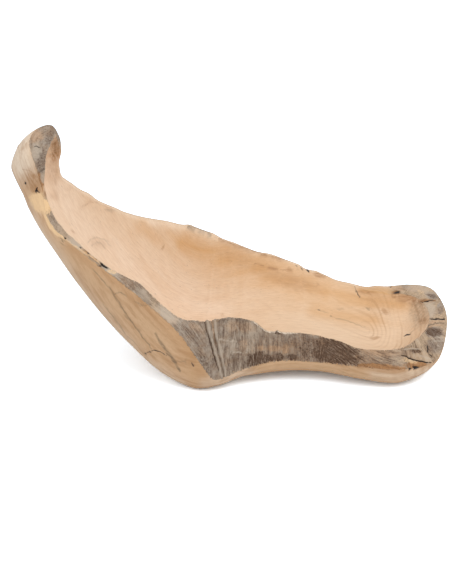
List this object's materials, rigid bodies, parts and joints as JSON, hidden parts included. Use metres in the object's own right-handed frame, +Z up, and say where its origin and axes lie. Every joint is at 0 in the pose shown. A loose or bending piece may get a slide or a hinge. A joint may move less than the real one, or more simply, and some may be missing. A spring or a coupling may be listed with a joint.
{
  "type": "bowl",
  "caption": "Free-form olive wood bowl carved from one root, with a tall curled horn, a sloping hollow, a shallow tail and a weathered natural front rim.",
  "frame": {"origin": "on the resting plane, below the middle of the bowl's length and depth", "axes": "+X along the bowl from the horn to the tail, +Y from the weathered front face to the thin back rim, +Z up"},
  "size_m": [0.52, 0.2024, 0.2952],
  "materials": {
    "olive_wood": "sanded and waxed, with bare weathered grey wood on the front rim"
  },
  "bodies": {
    "root": {"bowl": "olive_wood"}
  },
  "joints": []
}
